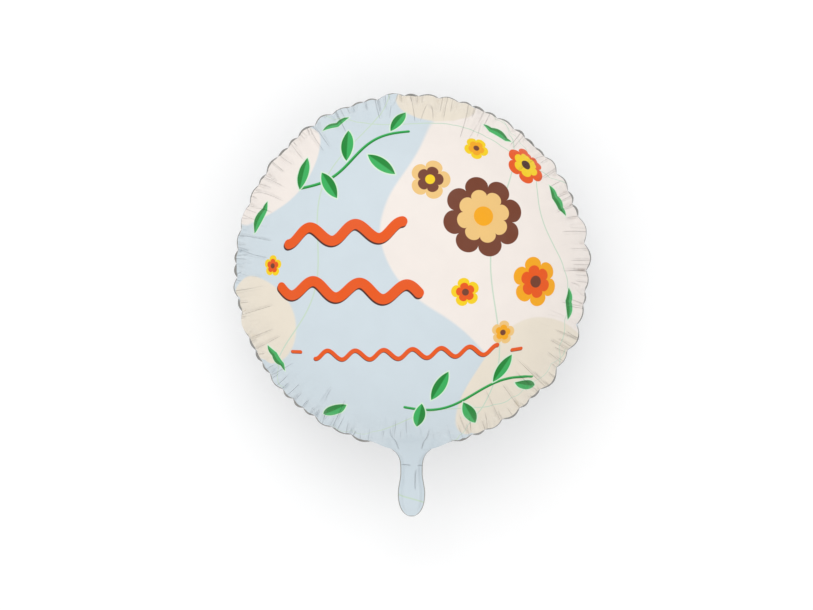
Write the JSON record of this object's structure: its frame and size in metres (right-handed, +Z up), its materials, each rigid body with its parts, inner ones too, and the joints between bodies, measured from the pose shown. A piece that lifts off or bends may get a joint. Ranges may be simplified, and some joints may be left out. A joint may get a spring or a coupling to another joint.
{
  "type": "foil balloon",
  "caption": "Round inflated foil balloon with a puckered welded rim and a flat filling tail, lying on its back.",
  "frame": {"origin": "middle of the flat spot on the underside, on the axis of the round body", "axes": "+Z up, out of the printed face; +Y away from the filling tail, so the tail points along -Y; +X to the right as the printed face is read"},
  "size_m": [0.3572, 0.4226, 0.2057],
  "materials": {
    "front_foil": "satin printed film, pale blue and cream",
    "back_foil": "satin metallised film"
  },
  "bodies": {
    "root": {"front_foil": "front_foil", "back_foil": "back_foil"}
  },
  "joints": []
}
